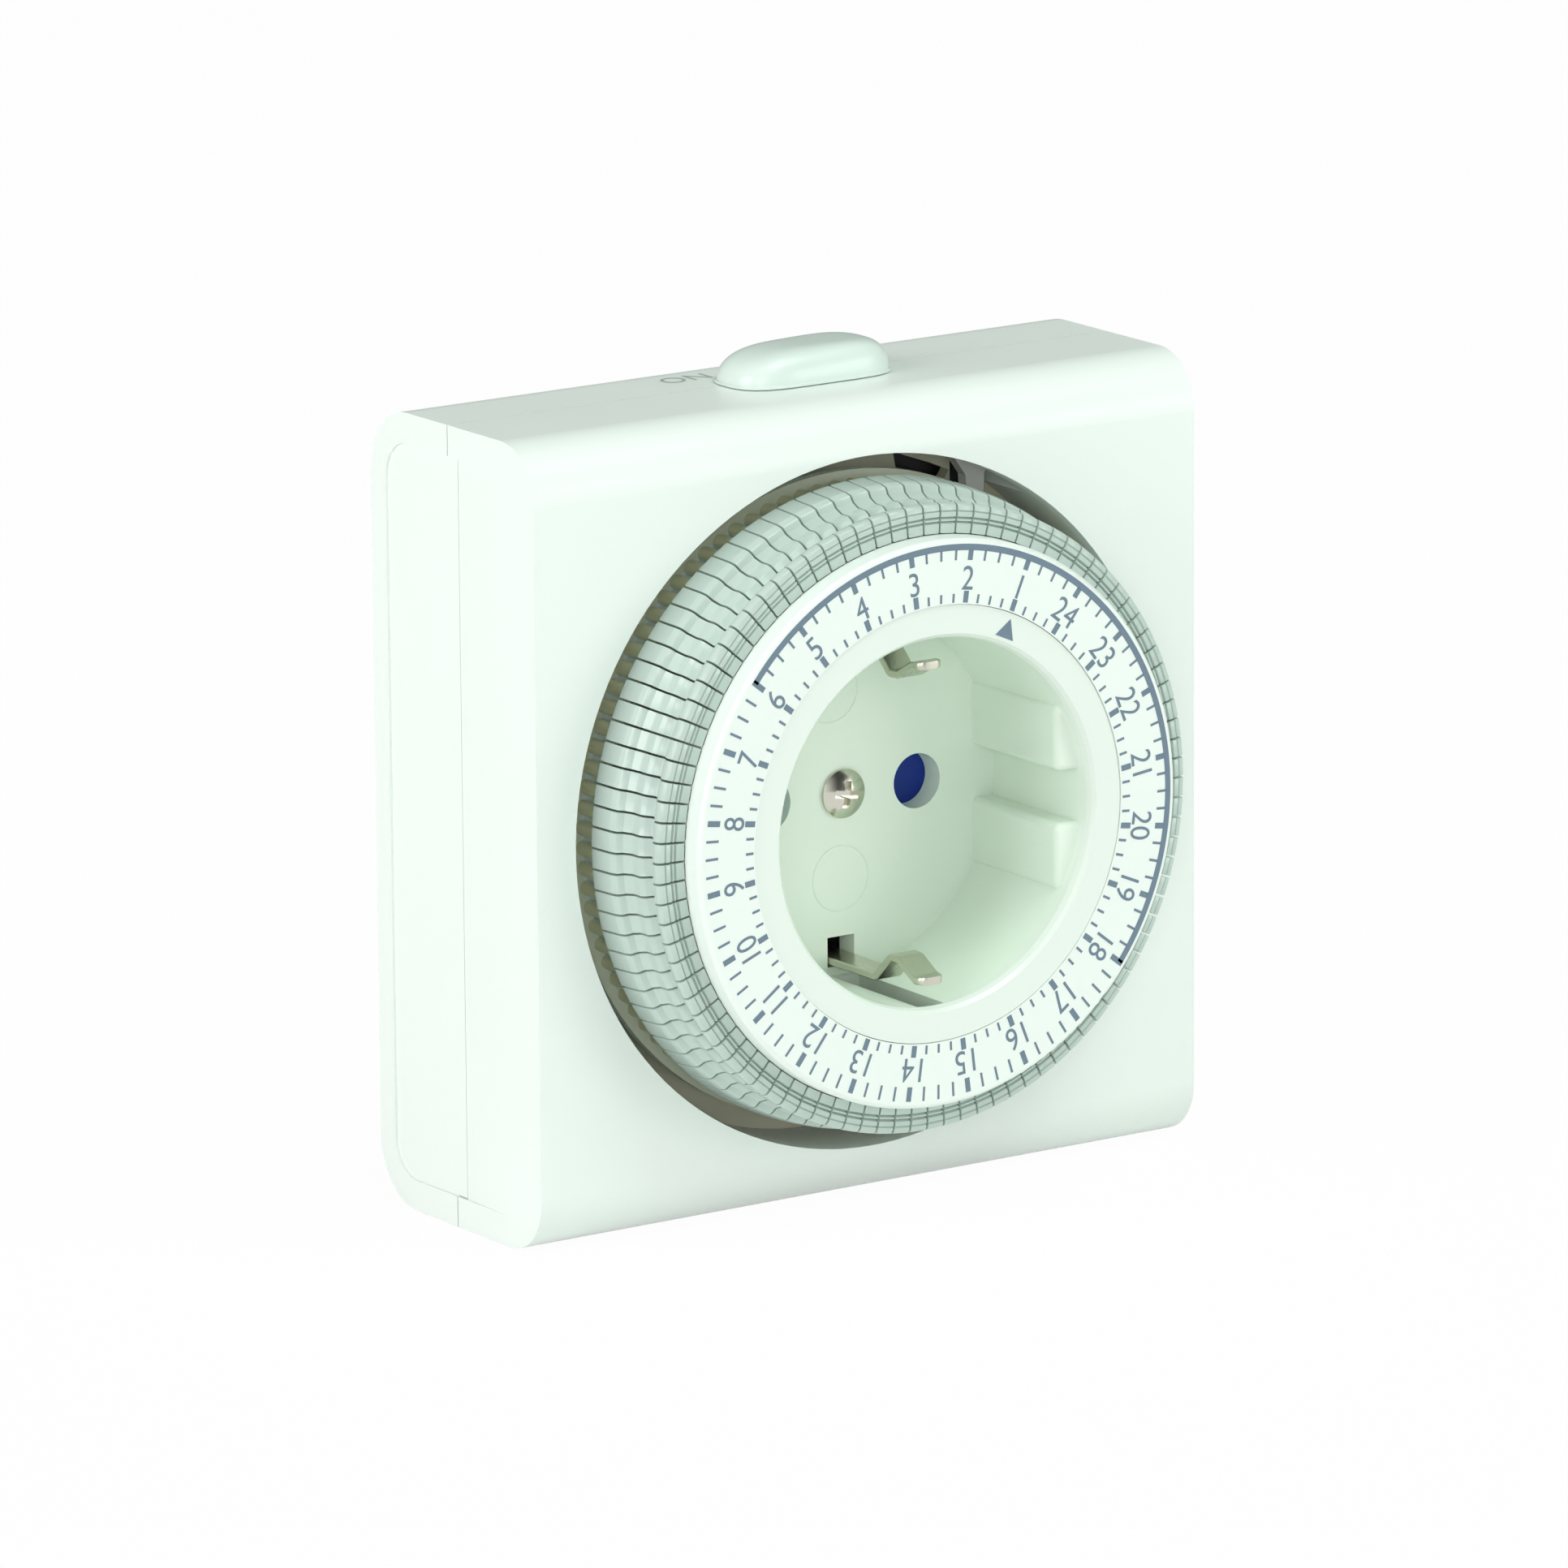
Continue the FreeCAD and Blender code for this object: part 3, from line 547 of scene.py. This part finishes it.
def lettering(text, height, squeeze=0.9):
    """Flat outline of plain characters: points scaled to a height and centred, and their faces."""
    curve = bpy.data.curves.new("characters", "FONT")
    curve.body = text
    curve.resolution_u = 6
    holder = bpy.data.objects.new("characters", curve)
    bpy.context.scene.collection.objects.link(holder)
    bpy.context.view_layer.update()
    mesh = bpy.data.meshes.new_from_object(holder)
    co = np.empty(len(mesh.vertices) * 3)
    mesh.vertices.foreach_get("co", co)
    flat = co.reshape(-1, 3)[:, :2]
    faces = [list(p.vertices) for p in mesh.polygons]
    bpy.data.objects.remove(holder)
    bpy.data.curves.remove(curve)
    bpy.data.meshes.remove(mesh)
    size = flat.max(axis=0) - flat.min(axis=0)
    flat = (flat - (flat.max(axis=0) + flat.min(axis=0)) / 2) * height / size[1]
    return flat * (squeeze, 1.0), faces


class TIMER_OT_print(bpy.types.Operator):
    """Makes the dial's numbers and lines, the pointer, the ON letters and the plain circles in the well"""
    bl_idname = "timer.print"
    bl_label = "Print"

    def execute(self, context):
        sizes = context.scene.timer_sizes
        y = DIAL_PLANE - sizes.ink_lift
        thick = sizes.thick_line
        thin = sizes.thin_line
        hours = MIDNIGHT - HOUR * np.arange(24)
        quarters = np.array([h - PITCH * k for h in hours for k in (1, 2, 3)])
        inner_start = 23.3 * MM
        band_start = 27.75 * MM
        band_end = 29.45 * MM
        parts = [flat_bars(hours, inner_start, 24.54 * MM, thick, y),
                 flat_bars(quarters, inner_start, 24.24 * MM, thin, y)]
        first = MIDNIGHT - 6 * HOUR
        last = MIDNIGHT + 6 * HOUR

        def under_arc(angles):
            turned = (angles - first) % 360.0
            inside = (turned > 0.1) & (turned < last - first - 0.1)
            return angles[inside], angles[~inside]

        for angles, width in ((hours, thick), (quarters, thin)):
            inside, outside = under_arc(angles)
            ends = np.abs(((outside - first) % 180.0 + 90.0) % 180.0 - 90.0) < 0.1
            parts.append(flat_bars(inside, band_start, 28.8 * MM, width, y))
            parts.append(flat_bars(outside[~ends], 27.67 * MM, 29.2 * MM, width, y))
        parts.append(arc_band(first, last, 28.78 * MM, band_end, y))
        parts.append(flat_bars([first, last], band_start, band_end, thick, y))
        lines = make_object("dial_lines", *joined(parts), smooth=False)
        finished(lines, material("dial_ink"), "dial", "dial_white")

        numbers = []
        for hour in range(1, 25):
            flat, faces = lettering(str(hour), sizes.digit_height)
            angle = math.radians(MIDNIGHT - HOUR * hour)
            r = sizes.digit_radius + flat[:, 1]
            u = flat[:, 0]
            place = np.stack([r * math.sin(angle) + u * math.cos(angle), np.full_like(r, y),
                              r * math.cos(angle) - u * math.sin(angle)], axis=-1)
            numbers.append((place, faces))
        digits = make_object("dial_numbers", *joined(numbers), smooth=False)
        finished(digits, material("dial_ink"), "dial", "dial_white")

        tip = [(22.5, 24.1), (20.45, 20.7), (20.45, 27.5)]
        pointer = np.vstack([around(r * MM, a, RING_PLANE - sizes.ink_lift) for r, a in tip])
        arrow = make_object("pointer_mark", pointer, [[0, 1, 2]], smooth=False)
        finished(arrow, material("dial_ink"), "housing", "well_white")

        letters = []
        for character, x in zip("ON", ON_AT):
            flat, faces = lettering(character, sizes.on_height, 1.0)
            place = np.stack([flat[:, 0] + x, flat[:, 1] + depth(21.2),
                              np.full(len(flat), HOUSING_TOP + sizes.ink_lift)], axis=-1)
            letters.append((place, faces))
        word = make_object("on_letters", *joined(letters), smooth=False)
        finished(word, material("letter_ink"), "housing", "housing_white")

        rings = [ring_bead(x * MM, z * MM, 3.5 * MM, 0.07 * MM, FLOOR_PLANE)
                 for x, z in ((-1.5, 11.2), (-0.3, -9.1))]
        circles = make_object("well_circles", *joined(rings))
        face_outwards(circles)
        finished(circles, material("well_plastic"), "housing", "well_white")
        return {"FINISHED"}


def ring_bead(x, z, radius, bead, y):
    """Low round bead along a circle on the well's floor: a small circle carried round a large one."""
    t = np.linspace(0, 2 * math.pi, 64, endpoint=False)[:, None]
    s = np.linspace(0, 2 * math.pi, 8, endpoint=False)[None, :]
    r = radius + bead * np.cos(s)
    grid = np.stack([x + r * np.cos(t), y + bead * np.sin(s) + 0 * t, z + r * np.sin(t)], axis=-1)
    return grid.reshape(-1, 3), grid_faces(64, 8, True, True)


class TIMER_OT_button(bpy.types.Operator):
    """Makes the override button's dome"""
    bl_idname = "timer.button"
    bl_label = "Override button"

    def execute(self, context):
        low, high = (np.array(c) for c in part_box("override_button"))
        centre = (low + high) / 2
        half = (high - low) / 2
        base = HOUSING_TOP + 0.12 * MM
        obj = make_object("button_dome", *dome(centre, half, base, high[2]))
        face_outwards(obj)
        mark_sharp(obj, 50.0)
        finished(obj, material("button_plastic"), "button", "button_grey", "override_button")
        return {"FINISHED"}


def dome(centre, half, base, top):
    """Dome over a rounded oblong: at a share s of the way from the middle to the outline, the height is
    (1 - s^n) raised to a power m, with a blunter right end than the left one. A skirt and a stem close it."""
    phi = np.linspace(0, 2 * math.pi, 97)[:-1][None, :]
    s = np.sin(np.linspace(0, math.pi / 2, 26))[1:, None]
    cx = np.sign(np.cos(phi)) * np.abs(np.cos(phi)) ** (2 / 4.6)
    cy = np.sign(np.sin(phi)) * np.abs(np.sin(phi)) ** (2 / 2.5)
    blunt = 5.2 + 2.0 * cx
    height = np.maximum(1 - s ** blunt, 0) ** 0.5
    foot_width = 0.25 * MM
    foot_height = 0.3 * MM
    body = np.array([1.0 - foot_width / h for h in half[:2]])
    x = centre[0] + half[0] * body[0] * cx * s
    y = centre[1] + half[1] * body[1] * cy * s
    z = base + foot_height + (top - base - foot_height) * height
    foot = np.stack([centre[0] + half[0] * cx, centre[1] + half[1] * cy, np.full_like(cx, base)], axis=-1)
    rings = np.vstack([np.stack([x, y, z], axis=-1), foot + (0, 0, 0.12 * MM), foot])
    points = np.vstack([[[centre[0], centre[1], top]], rings.reshape(-1, 3)])
    cols = phi.shape[1]
    rows = rings.shape[0]
    faces = grid_faces(rows, cols, close_cols=True, start=1)
    faces += [[0, 1 + i, 1 + (i + 1) % cols] for i in range(cols)]
    rim = 1 + (rows - 1) * cols
    faces.append([rim + i for i in range(cols)][::-1])
    left, right = -1.0 * MM, 7.0 * MM
    near, far = depth(14.5), depth(17.2)
    stem = np.array([(x, y, z) for z in (HOUSING_TOP - 2.3 * MM, base + foot_height)
                     for x, y in ((left, near), (right, near), (right, far), (left, far))])
    n = len(points)
    faces += [[n + 3, n + 2, n + 1, n], [n + 4, n + 5, n + 6, n + 7]]
    faces += [[n + i, n + (i + 1) % 4, n + 4 + (i + 1) % 4, n + 4 + i] for i in range(4)]
    return np.vstack([points, stem]), faces


class TIMER_OT_clips(bpy.types.Operator):
    """Makes the two bent earth clips in the well"""
    bl_idname = "timer.clips"
    bl_label = "Earth clips"

    def execute(self, context):
        for name, side in (("earth_clip_top", 1), ("earth_clip_bottom", -1)):
            obj = make_object("spring_" + name, *bent_clip(side))
            face_outwards(obj)
            mark_sharp(obj, 40.0)
            finished(obj, material("clip_plate"), "housing", "nickel", name)
        return {"FINISHED"}


def bent_clip(side):
    """Flat spring: a rounded-edged strip section carried along straight runs joined by arcs."""
    path = rounded_path([(25.0, 17.8), (-3.1, 17.8), (-5.9, 15.1), (-7.4, 15.2), (-10.1, 16.7),
                         (-11.5, 16.75)], [0.9, 0.7, 0.9, 1.2], 9)
    nose = 1.0
    last = path[-1] - path[-2]
    last /= np.linalg.norm(last)
    short_of_end = nose * (1 - np.cos(np.linspace(math.pi / 2, 0, 8)))[:, None]
    path = np.vstack([path[:-1], path[-1] - last * short_of_end])
    ahead = np.vstack([path[1:], 2 * path[-1:] - path[-2:-1]])
    behind = np.vstack([2 * path[:1] - path[1:2], path[:-1]])
    run = ahead - behind
    run /= np.linalg.norm(run, axis=1, keepdims=True)
    normal = np.stack([-run[:, 1], run[:, 0]], axis=-1)
    half_t = 0.4
    half_w = 1.6
    ease = 0.12
    section = np.array([(-half_w + ease, -half_t), (half_w - ease, -half_t), (half_w, -half_t + ease),
                        (half_w, half_t - ease), (half_w - ease, half_t), (-half_w + ease, half_t),
                        (-half_w, half_t - ease), (-half_w, -half_t + ease)])
    left = np.linalg.norm(path - path[-1], axis=1)
    round_end = half_w - nose + np.sqrt(np.maximum(nose ** 2 - (nose - left) ** 2, 0.0))
    taper = np.where(left < nose, round_end / half_w, 1.0)
    x = CLIP_X + section[None, :, 0] * taper[:, None]
    d = path[:, None, 0] + normal[:, None, 0] * section[None, :, 1]
    h = path[:, None, 1] + normal[:, None, 1] * section[None, :, 1]
    grid = np.stack([x * MM, depth(0) + d * MM, side * h * MM], axis=-1)
    rows, cols = grid.shape[:2]
    faces = grid_faces(rows, cols, close_cols=True)
    faces.append(list(range(cols))[::-1])
    faces.append([(rows - 1) * cols + i for i in range(cols)])
    return grid.reshape(-1, 3), faces


def white_when_seen(name, colour, share):
    """Pale stage paint that shows as white to the camera and in reflections, but keeps part of a shadow."""
    paint = bpy.data.materials.new(name)
    paint.use_nodes = True
    tree = paint.node_tree
    nodes = tree.nodes
    links = tree.links
    shader = nodes["Principled BSDF"]
    shader.inputs["Base Color"].default_value = colour
    shader.inputs["Roughness"].default_value = 0.9
    rays = nodes.new("ShaderNodeLightPath")
    either = nodes.new("ShaderNodeMath")
    either.operation = "ADD"
    links.new(rays.outputs["Is Camera Ray"], either.inputs[0])
    links.new(rays.outputs["Is Glossy Ray"], either.inputs[1])
    part = nodes.new("ShaderNodeMath")
    part.operation = "MULTIPLY"
    part.use_clamp = True
    part.inputs[1].default_value = share
    links.new(either.outputs[0], part.inputs[0])
    glow = nodes.new("ShaderNodeEmission")
    glow.inputs["Color"].default_value = (1, 1, 1, 1)
    mixer = nodes.new("ShaderNodeMixShader")
    links.new(part.outputs[0], mixer.inputs[0])
    links.new(shader.outputs[0], mixer.inputs[1])
    links.new(glow.outputs[0], mixer.inputs[2])
    links.new(mixer.outputs[0], nodes["Material Output"].inputs["Surface"])
    return paint


def area_light(name, place, size, power, colour=(1.0, 1.0, 1.0)):
    """Soft square lamp that looks at the dial."""
    lamp = bpy.data.lights.new(name, "AREA")
    lamp.size = size
    lamp.energy = power
    lamp.color = colour
    obj = bpy.data.objects.new(name, lamp)
    bpy.context.scene.collection.objects.link(obj)
    aim = np.array([0.0, HOUSING_FRONT, 0.0]) - np.array(place)
    back = -aim / np.linalg.norm(aim)
    side = np.cross((0.0, 0.0, 1.0), back)
    side /= np.linalg.norm(side)
    up = np.cross(back, side)
    turn = Matrix(np.column_stack([side, up, back]).tolist()).to_4x4()
    obj.matrix_world = Matrix.Translation(place) @ turn
    return obj


class TIMER_OT_stage(bpy.types.Operator):
    """Sets the floor, the soft lights, the white world and the camera"""
    bl_idname = "timer.stage"
    bl_label = "Stage"

    def execute(self, context):
        scene = context.scene
        scene.view_settings.view_transform = "Standard"
        floor_z = CAD_BOX[0][2] - 0.0001
        t = np.linspace(-1.5, 1.5, 4)
        x, y = np.meshgrid(t, t)
        floor = make_object("floor", np.stack([x, y, np.full_like(x, floor_z)], axis=-1).reshape(-1, 3),
                            grid_faces(4, 4), smooth=False)
        floor.data.materials.append(white_when_seen("floor_paint", (0.86, 0.88, 0.86, 1.0), 0.97))

        world = bpy.data.worlds.new("studio")
        scene.world = world
        world.use_nodes = True
        nodes = world.node_tree.nodes
        links = world.node_tree.links
        sky = nodes["Background"]
        rays = nodes.new("ShaderNodeLightPath")
        seen = nodes.new("ShaderNodeMath")
        seen.operation = "MAXIMUM"
        links.new(rays.outputs["Is Camera Ray"], seen.inputs[0])
        links.new(rays.outputs["Is Transmission Ray"], seen.inputs[1])
        level = nodes.new("ShaderNodeMapRange")
        level.inputs["To Min"].default_value = 0.34
        level.inputs["To Max"].default_value = 1.0
        links.new(seen.outputs[0], level.inputs["Value"])
        where = nodes.new("ShaderNodeTexCoord")
        axes = nodes.new("ShaderNodeSeparateXYZ")
        links.new(where.outputs["Generated"], axes.inputs[0])
        mirrored = nodes.new("ShaderNodeMapRange")
        mirrored.interpolation_type = "SMOOTHSTEP"
        for name, value in (("From Min", 0.2), ("From Max", -0.6), ("To Min", 0.08), ("To Max", 1.0)):
            mirrored.inputs[name].default_value = value
        links.new(axes.outputs["X"], mirrored.inputs["Value"])
        pick = nodes.new("ShaderNodeMix")
        links.new(rays.outputs["Is Glossy Ray"], pick.inputs[0])
        links.new(level.outputs[0], pick.inputs[2])
        links.new(mirrored.outputs[0], pick.inputs[3])
        sky.inputs["Color"].default_value = (1, 1, 1, 1)
        links.new(pick.outputs[0], sky.inputs["Strength"])

        area_light("key_light", (-1.3, -0.12, 0.45), 0.8, 9.1)
        area_light("front_light", (0.9, -1.1, 0.12), 0.6, 5.0)
        area_light("top_light", (0.2, -0.5, 1.1), 0.7, 7.0, (0.86, 1.0, 0.91))
        area_light("fill_light", (-0.75, -1.15, 0.33), 0.4, 3.0)

        view = scene.timer_camera
        a = math.radians(view.azimuth)
        e = math.radians(view.elevation)
        towards = np.array([math.sin(a) * math.cos(e), -math.cos(a) * math.cos(e), math.sin(e)])
        right = np.cross(-towards, (0.0, 0.0, 1.0))
        right /= np.linalg.norm(right)
        down = np.cross(-towards, right)
        c = math.cos(math.radians(view.roll))
        s = math.sin(math.radians(view.roll))
        right, down = c * right + s * down, -s * right + c * down
        lens = bpy.data.cameras.new("photo_camera")
        lens.sensor_width = 36.0
        lens.lens = view.lens
        lens.clip_start = 0.05
        lens.clip_end = 20.0
        camera = bpy.data.objects.new("photo_camera", lens)
        scene.collection.objects.link(camera)
        shift = view.distance * lens.sensor_width / view.lens
        place = np.array([0.0, HOUSING_FRONT, 0.0]) + towards * view.distance
        place = place - right * view.right * shift - down * view.down * shift
        turn = Matrix(np.column_stack([right, -down, towards]).tolist()).to_4x4()
        camera.matrix_world = Matrix.Translation(place.tolist()) @ turn
        scene.camera = camera
        return {"FINISHED"}


class TIMER_PT_panel(bpy.types.Panel):
    """Sidebar list of the timer's pieces, colours and sizes"""
    bl_idname = "TIMER_PT_panel"
    bl_label = "Timer switch"
    bl_space_type = "VIEW_3D"
    bl_region_type = "UI"
    bl_category = "Timer"

    def draw(self, context):
        for operator in OPERATORS:
            self.layout.operator(operator.bl_idname)
        for group in (context.scene.timer_colours, context.scene.timer_sizes, context.scene.timer_camera):
            for name in group.bl_rna.properties.keys():
                if name not in ("rna_type", "name"):
                    self.layout.prop(group, name)


OPERATORS = (TIMER_OT_finishes, TIMER_OT_segments, TIMER_OT_print, TIMER_OT_button, TIMER_OT_clips,
             TIMER_OT_stage)
GROUPS = {"timer_colours": TimerColours, "timer_sizes": TimerSizes, "timer_camera": TimerCamera}


def register():
    for group in GROUPS.values():
        bpy.utils.register_class(group)
    for operator in OPERATORS:
        bpy.utils.register_class(operator)
    bpy.utils.register_class(TIMER_PT_panel)
    for name, group in GROUPS.items():
        setattr(bpy.types.Scene, name, bpy.props.PointerProperty(type=group))


def unregister():
    for name in GROUPS:
        delattr(bpy.types.Scene, name)
    bpy.utils.unregister_class(TIMER_PT_panel)
    for operator in reversed(OPERATORS):
        bpy.utils.unregister_class(operator)
    for group in reversed(GROUPS.values()):
        bpy.utils.unregister_class(group)


def main():
    register()
    for operator in OPERATORS:
        area, name = operator.bl_idname.split(".")
        getattr(getattr(bpy.ops, area), name)()


if __name__ == "__main__":
    main()
